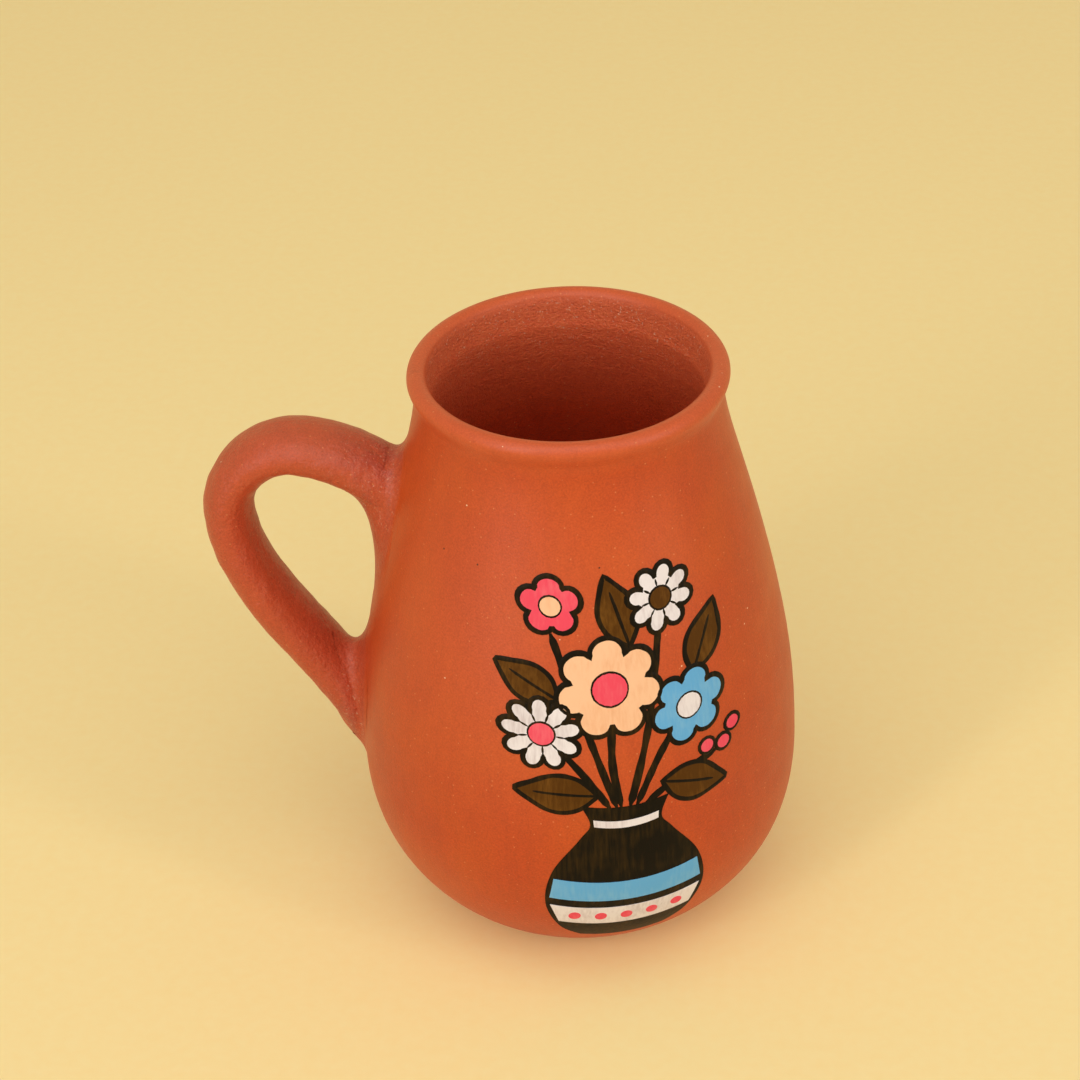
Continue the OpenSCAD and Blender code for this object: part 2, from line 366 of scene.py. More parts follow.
# %% Copy the handle and carry its two ends into the wall
END_DEPTH = 1.3 * MM
LEAST_LEAN = 0.3
ON_WALL = 0.03 * MM
OUTSIDE = 100 * MM
QUAD_ANGLE = math.radians(60)
SEAT_HEIGHT = (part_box("upper_seat_fillet")[0].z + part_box("lower_seat_fillet")[1].z) / 2

node_wall = merged_copy("thrown_pot", "node_wall")


def height_over_wall(place):
    """How far a point lies outside the node's wall, measured straight out from the axis."""
    outward = Vector((place.x, place.y, 0)).normalized()
    hit, spot, normal, face = node_wall.ray_cast(place + outward * OUTSIDE, -outward)
    return (place - spot).dot(outward) if hit else OUTSIDE


def on_wall(face, upper):
    middle = face.calc_center_median()
    same_end = (middle.z > SEAT_HEIGHT) == upper
    return same_end and all(abs(height_over_wall(corner.co)) < ON_WALL for corner in face.verts)


def triangles_to_quads(piece):
    """Joins pairs of triangles, and leaves the piece in edit mode."""
    edit(piece, "FACE", everything=True)
    bpy.ops.mesh.tris_convert_to_quads(face_threshold=QUAD_ANGLE, shape_threshold=QUAD_ANGLE)


def push_end_in(piece, upper):
    """Extrudes one end of the handle into the wall, along the handle's own direction there."""
    count = pick(piece, "FACE", lambda face: on_wall(face, upper))
    mesh = bmesh.from_edit_mesh(piece.data)
    inward = Vector()
    for vertex in mesh.verts:
        for edge in vertex.link_edges:
            beyond = edge.other_vert(vertex)
            if vertex.select and not beyond.select:
                inward += (vertex.co - beyond.co).normalized()
    inward.normalize()
    push = inward * END_DEPTH / max(abs(inward.x), LEAST_LEAN)
    bpy.ops.mesh.extrude_region_move(TRANSFORM_OT_translate={"value": push})
    close()
    end = "upper" if upper else "lower"
    print(end, "end:", count, "faces pushed in by", round(push.length / MM, 1), "mm")


handle = merged_copy("pulled_handle", "handle")
triangles_to_quads(handle)
close()
push_end_in(handle, upper=True)
push_end_in(handle, upper=False)

# %% [markdown]
# A Subdivision Surface rounds the facets. Pulling leaves long shallow flats along the loop,
# and the fingers leave small dents. Both are a noise that moves the vertices.

# %% Round the handle and give it the pull marks
PULL_DEPTH = 0.3 * MM
PULL_SIZE = Vector((22 * MM, 7 * MM, 22 * MM))
DENT_DEPTH = 0.16 * MM
DENT_SIZE = 3.2 * MM

apply_modifier(handle, "SUBSURF", levels=2, render_levels=2)
handle.data.shade_smooth()


def pull_marks(vertex):
    """Long shallow flats along the pull, with small dents where the fingers let go."""
    stretched = Vector(part / size for part, size in zip(vertex.co, PULL_SIZE))
    flats = PULL_DEPTH * swell(stretched, 1, seed=7)
    return flats + DENT_DEPTH * swell(vertex.co, DENT_SIZE, seed=5)


press(handle, pull_marks)
give_attribute(handle, "pulled", [1.0] * len(handle.data.vertices))
print("handle faces:", len(handle.data.polygons))

# %% [markdown]
# The tail of the real handle ends blunt and round. Its last few millimetres are pressed out
# and down, but not where they touch the wall, so that the seam stays closed.

# %% Fill out the end of the tail
TAIL_FULLNESS = 1.2 * MM
TAIL_ZONE = 9 * MM
TAIL_CLEAR = 2 * MM
TAIL_WAY = Vector((-0.75, 0, -0.66))
TAIL_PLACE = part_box("lower_seat_fillet")[0] * Vector((1, 0, 1)) + Vector((2.5, 0, 11.5)) * MM


def fill_tail(piece):
    """Presses the tail's end out where it stands clear of the wall, for a blunt, rounded stop."""
    moved = 0
    for vertex in piece.data.vertices:
        near = ease(TAIL_ZONE - (vertex.co - TAIL_PLACE).length, 0, TAIL_ZONE)
        if near:
            clear = ease(height_over_wall(vertex.co), 0, TAIL_CLEAR)
            vertex.co += TAIL_WAY * TAIL_FULLNESS * near * clear
            moved += 1
    piece.data.update()
    print("tail of", piece.name, "filled out at", moved, "vertices")


fill_tail(handle)

# %% [markdown]
# ## The slip round the seats
#
# The corner between handle and wall is filled with soft clay and smoothed with a finger. In
# the frame each filling is a thin ring that runs out to nothing on both sides. The copies keep
# that form; their thin edges are creased, so that the Subdivision Surface rounds the hollow
# face and leaves the edges where they meet the skin and the wall. The slip is of one clay
# with the handle, so it carries the handle's finish down to its edge on the wall.

# %% Copy the two clay fillets and smooth their hollow face
THIN_EDGE_ANGLE = math.radians(70)
SMEAR_EDGE = 0.5 * MM


def clay_fillet(node, name):
    piece = merged_copy(node, name)
    triangles_to_quads(piece)
    bpy.ops.mesh.select_mode(type="EDGE")
    bpy.ops.mesh.select_all(action="DESELECT")
    bpy.ops.mesh.edges_select_sharp(sharpness=THIN_EDGE_ANGLE)
    bpy.ops.transform.edge_crease(value=1)
    close()
    apply_modifier(piece, "SUBSURF", levels=2, render_levels=2)
    only(piece)
    bpy.ops.object.shade_smooth_by_angle(angle=THIN_EDGE_ANGLE)
    over_wall = [height_over_wall(vertex.co) for vertex in piece.data.vertices]
    give_attribute(piece, "pulled", [ease(height, 0, SMEAR_EDGE) for height in over_wall])
    print(name, "faces:", len(piece.data.polygons))
    return piece


upper_fillet = clay_fillet("upper_seat_fillet", "upper_fillet")
lower_fillet = clay_fillet("lower_seat_fillet", "lower_fillet")
fill_tail(lower_fillet)
bpy.data.objects.remove(node_wall)

# %% [markdown]
# ## Paint that lies on the clay
#
# The bouquet is brushed on in layers: flat colours first, black outlines last. Each patch of
# paint is modelled flat, with x across the picture, y up it and z as its thickness, and then
# laid on the pot along the picture's own line of sight. That is what Shrinkwrap's Project
# does; it is written out here because every vertex has to keep its own height over the clay.

# %% Lay a flat piece on the pot
PICTURE_TURN = math.radians(17)
picture_right = Vector((math.cos(PICTURE_TURN), math.sin(PICTURE_TURN), 0))
picture_out = Vector((math.sin(PICTURE_TURN), -math.cos(PICTURE_TURN), 0))
FAR_OUT = 200 * MM
UNDER = 0.12 * MM


def lay_on_pot(piece):
    """Puts each vertex on the pot's wall, with its z as the height over the clay."""
    for vertex in piece.data.vertices:
        start = picture_right * vertex.co.x + picture_out * FAR_OUT + Vector((0, 0, vertex.co.y))
        hit, spot, normal, face = pot.ray_cast(start, -picture_out)
        vertex.co = spot + normal * vertex.co.z
    piece.data.update()


def thicken_and_lay(piece, height, edge_degrees):
    """Extrudes an open sheet, in edit mode, down into the clay and lays it on the pot."""
    bpy.ops.mesh.extrude_region_move(TRANSFORM_OT_translate={"value": (0, 0, -height - UNDER)})
    bpy.ops.mesh.select_all(action="SELECT")
    bpy.ops.mesh.normals_make_consistent(inside=False)
    close()
    lay_on_pot(piece)
    only(piece)
    bpy.ops.object.shade_smooth_by_angle(angle=math.radians(edge_degrees))


# %% [markdown]
# A closed patch starts as a circle with as many corners as its outline. The corners are moved
# on to the outline, the patch is cut into a fine grid by bisecting it again and again, and the
# whole is extruded down into the clay, which leaves a closed slab that can bend round the pot.

# %% Make a closed patch of paint
GRID = 2.2 * MM
PATCH_EDGE_DEGREES = 40


def patch(name, outline, height):
    """A closed patch of paint over an outline of (across, up) points in millimetres."""
    bpy.ops.mesh.primitive_circle_add(vertices=len(outline), radius=1, fill_type="NGON")
    piece = bpy.context.object
    piece.name = name
    for vertex, (across, up) in zip(piece.data.vertices, outline):
        vertex.co = (across * MM, up * MM, height)
    edit(piece, "FACE", everything=True)
    bpy.ops.mesh.quads_convert_to_tris(ngon_method="BEAUTY")
    for axis in (0, 1):
        low = min(point[axis] for point in outline) * MM
        high = max(point[axis] for point in outline) * MM
        normal = (1, 0, 0) if axis == 0 else (0, 1, 0)
        for step in range(math.ceil(low / GRID), math.floor(high / GRID) + 1):
            bpy.ops.mesh.select_all(action="SELECT")
            bpy.ops.mesh.bisect(plane_co=tuple(step * GRID * a for a in normal), plane_no=normal)
    bpy.ops.mesh.select_all(action="SELECT")
    bpy.ops.mesh.remove_doubles(threshold=SAME_PLACE)
    thicken_and_lay(piece, height, PATCH_EDGE_DEGREES)
    return piece


# %% [markdown]
# A brush line starts as a grid, one row of squares per step along the line. The grid is bent
# along the path, a little wider and narrower where the hand pressed or lifted, and its middle
# is a hair thicker than its edges, as wet paint dries.

# %% Make a brush line
LINE_STEP = 0.8
ACROSS = 4
LINE_EDGE_DEGREES = 50
HAND_SHAKE = 0.22
SHAKE_SIZE = 3
END_TAPER = 0.35
TAPER_WIDTHS = 1.2
EDGE_THINNING = 0.6


def along(points, closed):
    """Points at even steps along a path."""
    path = [Vector(point) for point in points]
    if closed:
        path.append(path[0])
    lengths = [(b - a).length for a, b in zip(path, path[1:])]
    count = max(3, round(sum(lengths) / LINE_STEP))
    spots, index, passed = [], 0, 0.0
    for number in range(count + 1):
        goal = sum(lengths) * number / count
        while index < len(lengths) - 1 and passed + lengths[index] < goal:
            passed += lengths[index]
            index += 1
        share = (goal - passed) / max(lengths[index], 1e-9)
        spots.append(path[index].lerp(path[index + 1], min(share, 1)))
    return spots


def brush_line(name, points, width, height, closed=False):
    """A line of paint along (across, up) points in millimetres."""
    spots = along(points, closed)
    count = len(spots)
    bpy.ops.mesh.primitive_grid_add(x_subdivisions=count - 1, y_subdivisions=ACROSS, size=2)
    piece = bpy.context.object
    piece.name = name
    for vertex in piece.data.vertices:
        number = round((vertex.co.x + 1) / 2 * (count - 1))
        side = vertex.co.y
        before, after = spots[max(number - 1, 0)], spots[min(number + 1, count - 1)]
        if closed and number in (0, count - 1):
            before, after = spots[-2], spots[1]
        ahead = (after - before).normalized()
        spot = spots[number]
        shake = noise.noise(Vector((spot.x, spot.y, len(name))) / SHAKE_SIZE)
        pressure = 1 + HAND_SHAKE * shake
        if not closed:
            end = min(number, count - 1 - number) * LINE_STEP / width
            pressure *= END_TAPER + (1 - END_TAPER) * ease(end, 0, TAPER_WIDTHS)
        reach = side * width / 2 * pressure
        vertex.co = (
            (spot.x - ahead.y * reach) * MM,
            (spot.y + ahead.x * reach) * MM,
            height * (1 - EDGE_THINNING * side * side),
        )
    edit(piece, everything=True)
    bpy.ops.mesh.remove_doubles(threshold=2 * SAME_PLACE)
    thicken_and_lay(piece, height, LINE_EDGE_DEGREES)
    return piece


# %% [markdown]
# ## Finishes
#
# Fired clay is not one colour. It has slow patches of redder and more orange clay, a sand grain
# of a few tenths of a millimetre, pale specks of mica and a few dark pits. Light is painted into
# its colour as well: a paler upper front and a pinker handle are painted sheen, and a paler lip
# and mouth of the hollow are painted light. A picture wrapped round the mug would show a seam
# and blur up close. Noises read in object coordinates do neither, and run on from the pot to
# its handle.
# A small class keeps the node trees readable: each of its calls adds one node and joins it.

# %% A recipe adds the nodes of one material
def colour(red, green, blue):
    """A colour given as it looks on a screen, 0 to 255, for a shader socket."""
    shares = [channel / 255 for channel in (red, green, blue)]
    return tuple(
        share / 12.92 if share <= 0.04045 else ((share + 0.055) / 1.055) ** 2.4
        for share in shares
    ) + (1,)


class Recipe:
    """A new material whose nodes are added and joined one at a time."""

    def __init__(self, name, **shader):
        self.material = bpy.data.materials.new(name)
        self.material.use_nodes = True
        self.tree = self.material.node_tree
        self.shader = self.tree.nodes["Principled BSDF"]
        self.place = self.add("ShaderNodeTexCoord").outputs["Object"]
        for name, value in shader.items():
            self.set(self.shader, name.replace("_", " "), value)

    def set(self, node, name, value):
        """Joins a socket to an input, or gives the input a fixed value."""
        socket = node.inputs[name] if isinstance(name, int) else next(
            s for s in node.inputs if s.name.lower() == name.lower() and s.enabled
        )
        if isinstance(value, bpy.types.NodeSocket):
            self.tree.links.new(value, socket)
        else:
            socket.default_value = value

    def add(self, kind, options=None, **inputs):
        node = self.tree.nodes.new(kind)
        for name, value in (options or {}).items():
            setattr(node, name, value)
        for name, value in inputs.items():
            self.set(node, name.replace("_", " "), value)
        return node

    def maths(self, action, first, second):
        node = self.add("ShaderNodeMath", {"operation": action})
        self.set(node, 0, first)
        self.set(node, 1, second)
        return node.outputs[0]

    def times(self, first, second):
        return self.maths("MULTIPLY", first, second)

    def mix(self, share, first, second, blend="MIX"):
        node = self.add("ShaderNodeMix", {"data_type": "RGBA", "blend_type": blend})
        self.set(node, "Factor", share)
        self.set(node, "A", first)
        self.set(node, "B", second)
        return next(s for s in node.outputs if s.enabled)

    def lay(self, ground, top, mask, strength, blend="MIX"):
        """Lays one colour over another where a mask is 1, at a strength."""
        return self.mix(self.times(mask, strength), ground, top, blend)

    def ramp(self, value, *stops):
        """A colour that changes with a value, through (position, colour) stops."""
        node = self.add("ShaderNodeValToRGB", Fac=value)
        points = node.color_ramp.elements
        while len(points) < len(stops):
            points.new(0.5)
        for point, (position, tint) in zip(points, stops):
            point.position = position
            point.color = tint
        return node.outputs["Color"]


# %% A finish is a recipe with patterns, masks and bumps
class Finish(Recipe):
    """A recipe that also knows the patterns of clay and paint."""

    def noise(self, size, detail=3, rough=0.55, place=None):
        """A noise whose patches are about one size across, in metres."""
        node = self.add(
            "ShaderNodeTexNoise",
            Vector=place or self.place, Scale=1 / size, Detail=detail, Roughness=rough,
        )
        return node.outputs["Fac"]

    def streaks(self, per_metre, detail=3, rough=0.55):
        """A stretched noise, given as how many patches fit in a metre each way."""
        mapping = self.add("ShaderNodeMapping", Vector=self.place, Scale=per_metre)
        return self.noise(1, detail, rough, mapping.outputs["Vector"])

    def specks(self, cell, size, share):
        """1 on round specks that lie in a share of the cells of a Voronoi pattern."""
        node = self.add("ShaderNodeTexVoronoi", Vector=self.place, Scale=1 / cell)
        near = self.maths("LESS_THAN", node.outputs["Distance"], size / cell)
        split = self.add("ShaderNodeSeparateColor", Color=node.outputs["Color"])
        lucky = self.maths("LESS_THAN", split.outputs[0], share)
        return self.times(near, lucky)

    def grey(self, value, low, high, span):
        """A noise turned into a grey that lightens and darkens in an overlay."""
        dark, light = 0.5 - span / 2, 0.5 + span / 2
        return self.ramp(value, (low, (dark, dark, dark, 1)), (high, (light, light, light, 1)))

    def attribute(self, name):
        """A number that the piece stores on its own vertices, or 0 if it has none."""
        return self.add("ShaderNodeAttribute", {"attribute_name": name}).outputs["Fac"]

    def height(self):
        return self.add("ShaderNodeSeparateXYZ", Vector=self.place).outputs["Z"]

    def rise(self, value, low, high):
        """0 below low, 1 above high, and a straight climb between them."""
        node = self.add("ShaderNodeMapRange", Value=value)
        self.set(node, "From Min", low)
        self.set(node, "From Max", high)
        return node.outputs["Result"]

    def round_a_place(self, place, near, far):
        """1 nearer to a place than near, 0 beyond far."""
        node = self.add("ShaderNodeVectorMath", {"operation": "DISTANCE"})
        self.set(node, 0, self.place)
        self.set(node, 1, place)
        return self.rise(node.outputs["Value"], far, near)

    def bump(self, height, depth, under=None):
        node = self.add("ShaderNodeBump", Height=height, Distance=depth, Strength=1.0)
        if under:
            self.set(node, "Normal", under)
        return node.outputs["Normal"]


# %% [markdown]
# ### Terracotta
#
# The ground of the clay comes first: patches of three reds, and a paler front, a painted sheen.
# The hollow is redder, and paler towards its mouth, which is painted light. The rim and the
# handle are rubbed with a wet hand; the rim's paler colour is painted light and sheen, and the
# handle's pinker one a painted sheen. Separate materials would meet at an edge, so this is one
# clay with a mask for each part: a height, a distance, or the number that a piece stores on
# its vertices.

# %% The ground colours of the clay
CLAY_RED = colour(186, 64, 24)
CLAY = colour(193, 71, 22)
CLAY_ORANGE = colour(199, 80, 22)
# Painted sheen: the paler, pinker colour laid on the upper front.
CLAY_PAINTED_SHEEN = colour(206, 90, 52)
CLAY_HOLLOW = colour(206, 58, 8)
# Painted light: the paler, pinker colour towards the mouth of the hollow.
CLAY_MOUTH_PAINTED_LIGHT = colour(240, 112, 64)
# Painted light and sheen: the paler colour of the top of the lip.
CLAY_RIM_PAINTED_LIGHT = colour(208, 92, 50)
# Painted sheen: the pinker colour of the handle and its slip.
CLAY_PULLED_PAINTED_SHEEN = colour(188, 83, 58)
PATCH_COLOURS = ((0.32, CLAY_RED), (0.5, CLAY), (0.68, CLAY_ORANGE))
PAINTED_SHEEN_PLACE = (-8 * MM, -44 * MM, 92 * MM)
PAINTED_SHEEN_REACH = (8 * MM, 48 * MM)
PAINTED_MOUTH_LIGHT_RISE = (104 * MM, 134 * MM)
PAINTED_RIM_LIGHT_RISE = (131 * MM, 137 * MM)

clay = Finish("terracotta", Specular_IOR_Level=0.5)
hollow_part = clay.attribute("hollow")
pulled_part = clay.attribute("pulled")
clay_height = clay.height()
rim_painted_light = clay.rise(clay_height, *PAINTED_RIM_LIGHT_RISE)
painted_front_sheen = clay.round_a_place(PAINTED_SHEEN_PLACE, *PAINTED_SHEEN_REACH)
# Redder in the hollow, and paler towards its mouth, where the paler colour is painted light.
hollow_red_and_painted_mouth_light = clay.mix(clay.rise(clay_height, *PAINTED_MOUTH_LIGHT_RISE), CLAY_HOLLOW, CLAY_MOUTH_PAINTED_LIGHT)

tint = clay.ramp(clay.noise(size=34 * MM), *PATCH_COLOURS)
# A paler patch on the upper front of the pot: a painted sheen.
tint = clay.lay(tint, CLAY_PAINTED_SHEEN, painted_front_sheen, strength=0.6)
tint = clay.lay(tint, hollow_red_and_painted_mouth_light, hollow_part, strength=0.85)
# The top of the lip made paler: painted light and sheen where light falls from above.
tint = clay.lay(tint, CLAY_RIM_PAINTED_LIGHT, rim_painted_light, strength=0.75)
# The handle and its slip made pinker: a painted sheen.
tint = clay.lay(tint, CLAY_PULLED_PAINTED_SHEEN, pulled_part, strength=0.6)
print("ground colours:", len(clay.tree.nodes), "nodes")

# %% [markdown]
# Where slip was smeared over the two joints, a dusty pink is laid on, which is a painted
# sheen. It is a product of three masks: near a joint, on the handle and its seats, and broken
# up by upright smears.

# %% Painted pink sheen on the slip smeared over the two joints
# Painted sheen: the dusty pink laid on the smeared slip.
SLIP_SMEAR_PAINTED_SHEEN = colour(176, 76, 60)
JOINT_REACH = (8 * MM, 18 * MM)
UPPER_JOINT_SHARE = 0.66
LOWER_JOINT_SHARE = 0.35
SMEARS_PER_METRE = (300, 300, 90)
SMEAR_BREAK = (0.42, 0.62)


def round_a_joint(node, share):
    """1 round the middle of a joint, which lies at a share of its fillet's height."""
    low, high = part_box(node)
    middle = ((low.x + high.x) / 2, 0, low.z + share * (high.z - low.z))
    return clay.round_a_place(middle, *JOINT_REACH)


joints = clay.maths(
    "MAXIMUM",
    round_a_joint("upper_seat_fillet", UPPER_JOINT_SHARE),
    round_a_joint("lower_seat_fillet", LOWER_JOINT_SHARE),
)
smears = clay.streaks(SMEARS_PER_METRE)
# Pink painted sheen in upright smears round the two joints.
slip_smear_painted_sheen = clay.times(clay.times(joints, clay.rise(smears, *SMEAR_BREAK)), pulled_part)
tint = clay.lay(tint, SLIP_SMEAR_PAINTED_SHEEN, slip_smear_painted_sheen, strength=0.75)
print("with the bloom:", len(clay.tree.nodes), "nodes")

# %% [markdown]
# The stone that burnishes the outside leaves faint upright strokes, and the hand that wipes
# the hollow leaves short level ones, broken by the sand. A plain mix would dull the clay, but
# an overlay lightens and darkens it and keeps its hue.

# %% The strokes of stone and hand, and the grain
STONE_PER_METRE = (480, 480, 80)
STONE_STRENGTH = 0.4
WIPES_PER_METRE = (800, 800, 1900)
GRAIN_STRENGTH = 0.5

stone = clay.grey(clay.streaks(STONE_PER_METRE, detail=2), 0.35, 0.65, span=0.08)
tint = clay.mix(STONE_STRENGTH, tint, stone, "OVERLAY")
wipes = clay.streaks(WIPES_PER_METRE, rough=0.6)
sand = clay.noise(size=0.5 * MM, rough=0.65)
wiped = clay.grey(clay.times(wipes, sand), 0.12, 0.4, span=0.4)
tint = clay.lay(tint, wiped, hollow_part, strength=0.6, blend="OVERLAY")
grain = clay.noise(size=0.42 * MM, detail=2, rough=0.6)
tint = clay.mix(GRAIN_STRENGTH, tint, clay.grey(grain, 0.3, 0.7, span=0.3), "OVERLAY")
print("with strokes and grain:", len(clay.tree.nodes), "nodes")

# %% [markdown]
# Mica shows as pale specks, dull under a film of clay. On the rim the mica is painted bright, as
# glints, and the mouth and the joints carry painted glints most. Dark pits are grains that fell
# out, and smudges come from the kiln. Specks as meshes would be thousands of pieces, so they lie
# in the cells of a Voronoi pattern, given by the size of a cell, the size of its speck, and the
# share of cells with one.

# %% Smudges, specks and painted glints
SMUDGE = colour(128, 58, 26)
MICA_AND_PAINTED_GLINTS = colour(240, 205, 175)
# Pale mica, also the colour of the painted glints.
DULL_MICA = colour(222, 134, 84)
PIT = colour(84, 32, 16)
DULL_SPECKS = (1.5 * MM, 0.19 * MM, 0.3)
BRIGHT_SPECKS = (6.5 * MM, 0.18 * MM, 0.25)
RIM_MICA_PAINTED_GLINTS = (3.6 * MM, 0.17 * MM, 0.35)
PITS = (9 * MM, 0.22 * MM, 0.3)
PAINTED_GLINT_RISE = (116 * MM, 132 * MM)
PAINTED_GLINTS_ON_JOINTS = 0.8

smudges = clay.rise(clay.noise(size=13 * MM, detail=5, rough=0.7), 0.66, 0.8)
tint = clay.lay(tint, SMUDGE, smudges, strength=0.4)
tint = clay.lay(tint, DULL_MICA, clay.specks(*DULL_SPECKS), strength=0.6)
tint = clay.mix(clay.specks(*BRIGHT_SPECKS), tint, MICA_AND_PAINTED_GLINTS)
mouth = clay.times(hollow_part, clay.rise(clay_height, *PAINTED_GLINT_RISE))
# Painted glints: pale flecks of sparkle at the mouth and the joints.
painted_glint_zone = clay.maths("MAXIMUM", mouth, clay.times(joints, PAINTED_GLINTS_ON_JOINTS))
painted_glints = clay.times(clay.rise(clay.noise(size=0.6 * MM), 0.62, 0.7), painted_glint_zone)
tint = clay.lay(tint, MICA_AND_PAINTED_GLINTS, painted_glints, strength=0.55)
# Mica on the top of the rim, painted bright as glints.
tint = clay.mix(clay.times(clay.specks(*RIM_MICA_PAINTED_GLINTS), rim_painted_light), tint, MICA_AND_PAINTED_GLINTS)
tint = clay.mix(clay.specks(*PITS), tint, PIT)
clay.set(clay.shader, "Base Color", tint)
print("with specks:", len(clay.tree.nodes), "nodes")

# %% [markdown]
# Burnished clay has a dull sheen and hardly any grain. The wiped hollow is sandy, the handle
# is rougher than the pot, and the joints keep their smears. Relief this fine would take
# millions of faces, so it is a chain of Bump nodes.

# %% Roughness and relief of the clay
SHEEN_ROUGHNESS = 0.34
HOLLOW_ROUGHNESS = 0.14
WORN_ROUGHNESS = 0.16
WIPES_IN_SAND = 0.4

worn = clay.times(clay.noise(size=8 * MM), WORN_ROUGHNESS)
rough = clay.maths("ADD", clay.times(hollow_part, HOLLOW_ROUGHNESS), SHEEN_ROUGHNESS)
clay.set(clay.shader, "Roughness", clay.maths("ADD", rough, worn))
sandy = clay.maths("ADD", sand, clay.times(wipes, WIPES_IN_SAND))
sandy = clay.bump(clay.times(sandy, hollow_part), depth=0.5 * MM)
rubbed = clay.noise(size=1.4 * MM, detail=4, rough=0.6)
rubbed = clay.times(rubbed, clay.noise(size=9 * MM, detail=1))
rubbed = clay.bump(clay.times(rubbed, pulled_part), depth=0.8 * MM, under=sandy)
smeared = clay.bump(clay.times(smears, joints), depth=0.8 * MM, under=rubbed)
clay.set(clay.shader, "Normal", clay.bump(grain, depth=0.07 * MM, under=smeared))
finishes = {"terracotta": clay.material}
print("terracotta:", len(clay.tree.nodes), "nodes")

# %% [markdown]
# ### Acrylic paint
#
# Flat craft paint goes on in upright strokes. Where the brush ran dry the coat is thinner, and
# the clay shows through a little. A second, thinner colour looks the same as a see-through
# coat, and is simpler. One recipe serves all six colours.

# %% Acrylic paints
STROKES_PER_METRE = (1300, 1300, 120)
PAINT_SPECKS = (5 * MM, 0.15 * MM, 0.12)
PAINTS = {
    "black_paint": (colour(15, 10, 6), colour(52, 36, 12), 0.45),
    "brown_paint": (colour(84, 50, 8), colour(112, 72, 22), 0.5),
    "white_paint": (colour(240, 234, 242), colour(218, 208, 216), 0.5),
    "blue_paint": (colour(104, 178, 236), colour(124, 188, 236), 0.5),
    "pink_paint": (colour(242, 80, 104), colour(244, 104, 122), 0.5),
    "peach_paint": (colour(252, 202, 164), colour(244, 186, 146), 0.5),
}


def paint(name, full, thin, roughness):
    """Brushed paint that goes from its full colour to a thinner one in upright streaks."""
    coat = Finish(name, Roughness=roughness, Specular_IOR_Level=0.12)
    stroke = coat.streaks(STROKES_PER_METRE, rough=0.6)
    amount = coat.times(stroke, coat.noise(size=8 * MM, detail=2))
    tint = coat.ramp(amount, (0.2, full), (0.42, thin))
    tint = coat.mix(coat.specks(*PAINT_SPECKS), tint, MICA_AND_PAINTED_GLINTS)
    coat.set(coat.shader, "Base Color", tint)
    coat.set(coat.shader, "Normal", coat.bump(stroke, depth=0.06 * MM))
    return coat.material


for name, recipe in PAINTS.items():
    finishes[name] = paint(name, *recipe)
print("finishes:", ", ".join(finishes))

# %% [markdown]
# ## Every piece rides on the mug
#
# Nothing on a mug moves by itself, so all pieces ride on the one body of the frame.

# %% Dress the clay pieces
def dress(piece, slot, *nodes):
    """Gives a piece its finish, lets it ride on the mug, and hides the frame's nodes it stands
    for.
    """
    piece.data.materials.clear()
    piece.data.materials.append(finishes[slot])
    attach(piece, "root")
    if nodes:
        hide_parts(*nodes)
    return piece


dress(pot, "terracotta", "thrown_pot")
dress(handle, "terracotta", "pulled_handle")
dress(upper_fillet, "terracotta", "upper_seat_fillet")
dress(lower_fillet, "terracotta", "lower_seat_fillet")
print("dressed in clay:", [piece.name for piece in (pot, handle, upper_fillet, lower_fillet)])

# %% [markdown]
# ## The painted bouquet
#
# The picture is a black vase with bands of white and blue, and flowers in white, blue, peach
# and pink with brown leaves. Every place is written in millimetres, across from the middle of
# the picture and up from the table. A hand draws smooth lines, so outlines are worked out from
# a few chosen points, or turned round a centre.

# %% Curves for the brush
PATH_STEPS = 7
PETAL_STEPS = 12
BLOB_STEPS = 18
PETAL_FULLNESS = 0.55


def through(points):
    """A smooth path through a few points."""
    chosen = [Vector(point) for point in points]
    padded = [chosen[0], *chosen, chosen[-1]]
    path = []
    for before, start, end, after in zip(padded, padded[1:], padded[2:], padded[3:]):
        for step in range(PATH_STEPS):
            t = step / PATH_STEPS
            path.append(0.5 * (
                2 * start + (end - before) * t
                + (2 * before - 5 * start + 4 * end - after) * t ** 2
                + (3 * start - before - 3 * end + after) * t ** 3
            ))
    return path + [chosen[-1]]


def petal_ring(centre, radius, petals, depth, turn=0, steps=PETAL_STEPS):
    """The outline of a flower head with rounded petals."""
    outline = []
    for number in range(petals * steps):
        angle = 2 * math.pi * number / (petals * steps)
        bulge = abs(math.cos(petals * angle / 2)) ** PETAL_FULLNESS
        reach = radius * (1 - depth + depth * bulge)
        outline.append((
            centre[0] + reach * math.sin(angle + turn),
            centre[1] + reach * math.cos(angle + turn),
        ))
    return outline


def blob(centre, radius):
    """The outline of a round dot."""
    return petal_ring(centre, radius, petals=1, depth=0, steps=BLOB_STEPS)


# %% [markdown]
# Acrylic dries before the next colour goes on. Each kind of stroke has its own height over the
# clay, a few hundredths of a millimetre apart, so that it lies clear of the kinds below it.

# %% Layers of paint
STEM = 0.10 * MM
LEAF = 0.12 * MM
LEAF_LINE = 0.17 * MM
BLOOM = 0.21 * MM
BLOOM_LINE = 0.26 * MM
DOT = 0.30 * MM
LINE_WIDTH = 1.5
FINE_WIDTH = 1.0
painted = []


def fill(name, slot, outline, height):
    painted.append(dress(patch(name, outline, height), slot))


def line(name, points, width=LINE_WIDTH, height=BLOOM_LINE, closed=False):
    painted.append(dress(brush_line(name, points, width, height, closed), "black_paint"))


print("layers in mm over the clay:", [round(height / MM, 2) for height in (STEM, BLOOM, DOT)])

# %% [markdown]
# The vase is a round body seen from above, so its foot, its brim and its bands sink towards
# their middle. One side is drawn, the other mirrors it, and the bands read their width from
# it. A row of dots follows the bow of the white band.

